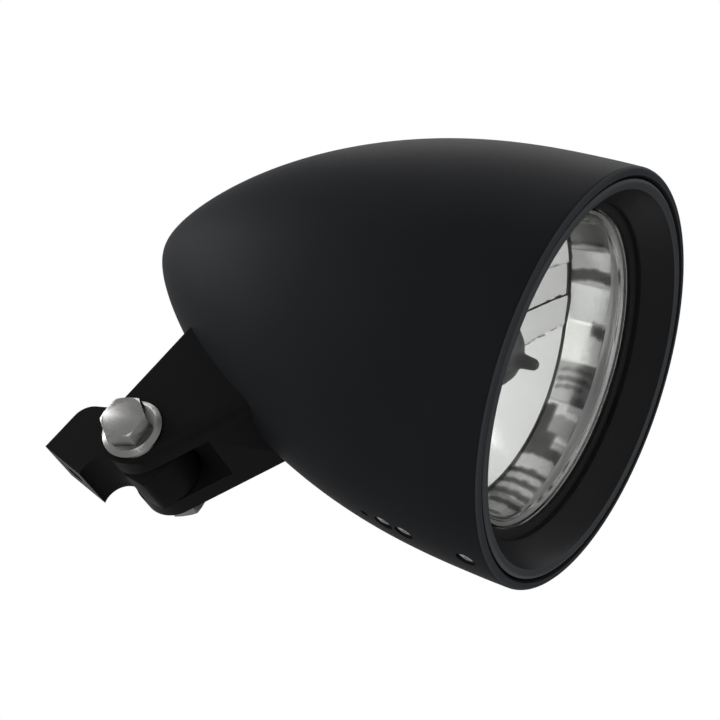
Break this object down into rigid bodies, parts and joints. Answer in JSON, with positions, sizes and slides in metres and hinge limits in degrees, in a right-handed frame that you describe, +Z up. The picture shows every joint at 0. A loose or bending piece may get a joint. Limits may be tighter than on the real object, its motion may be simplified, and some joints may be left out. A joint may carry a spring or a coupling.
{
  "type": "round motorcycle headlight",
  "caption": "Round bullet-shell motorcycle headlight with recessed clear lens, stepped reflector, underside clevis and tilting foot block.",
  "frame": {"origin": "centre of the mouth of the tapped hole in the foot block's base face", "axes": "+Z up and -Y along the beam with the lamp level, as the picture's pose has it; -X is the lamp's own right side, where the pivot bolt's head is"},
  "size_m": [0.1646, 0.2, 0.1923],
  "materials": {
    "black_paint": "matt black powder coat",
    "black_ring": "satin black",
    "rubber": "matt",
    "clear_glass": "polished",
    "bulb_clear": "polished",
    "mirror_coat": "vacuum metallised",
    "steel": "zinc plated",
    "stainless": "bright stainless",
    "dark_cap": "dark heat-proof paint",
    "brass": "plain",
    "black_plastic": "moulded",
    "cream_plastic": "moulded",
    "washer_plastic": "moulded, black"
  },
  "bodies": {
    "foot": {"foot_block": "black_paint"},
    "head": {"shell": "black_paint", "trim_ring": "black_ring", "ring_gasket": "rubber", "lens_glass": "clear_glass", "reflector": "mirror_coat", "carrier_ring": "steel", "insert_clips": "steel", "bulb_shield": "dark_cap", "bulb_glass": "bulb_clear", "bulb_burner": "steel", "bulb_base": "steel", "bulb_blades": "brass", "bulb_spring": "steel", "bulb_boot": "rubber", "bulb_plug": "black_plastic", "parking_bulb": "bulb_clear", "parking_holder": "rubber", "cap_screws": "stainless", "connector_bracket": "steel", "terminal_block": "cream_plastic", "grommet": "rubber", "clevis": "black_paint", "saddle_plate": "steel", "clevis_bolts": "steel", "pivot_bolt": "stainless", "flange_nut": "stainless", "thrust_washers": "washer_plastic"}
  },
  "joints": [
    {"name": "tilt", "type": "hinge", "parent": "foot", "child": "head", "pos_m": [0, -0.02899, 0.01864], "axis": [1, 0, 0], "range_deg": [-30, 30]}
  ]
}
